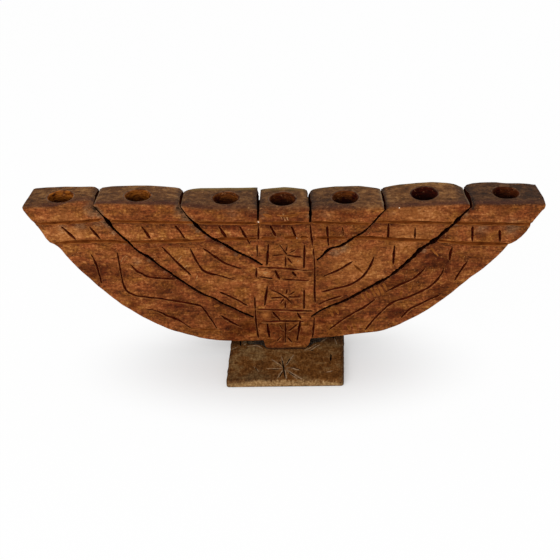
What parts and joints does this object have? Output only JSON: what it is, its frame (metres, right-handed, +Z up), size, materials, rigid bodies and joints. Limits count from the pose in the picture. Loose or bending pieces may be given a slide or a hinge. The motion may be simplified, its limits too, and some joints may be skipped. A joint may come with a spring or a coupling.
{
  "type": "seven-branch menorah",
  "caption": "Wide hand-carved wooden branched candle holder: one slab sawn into curved branches bored for candles, with a central stem, standing on a thin rectangular base.",
  "frame": {"origin": "on the table, under the middle of the base", "axes": "+X runs along the branches, to the right seen from the front; the front faces -Y; +Z is up"},
  "size_m": [0.4552, 0.1366, 0.161],
  "materials": {
    "carved_hardwood": "oiled hand-carved hardwood, reddish brown, satin",
    "base_hardwood": "oiled hardwood, olive brown, worn edges",
    "screw_steel": "plain steel wood screws"
  },
  "bodies": {
    "root": {"carved_body": "carved_hardwood", "base": "base_hardwood", "base_screws": "screw_steel"}
  },
  "joints": []
}
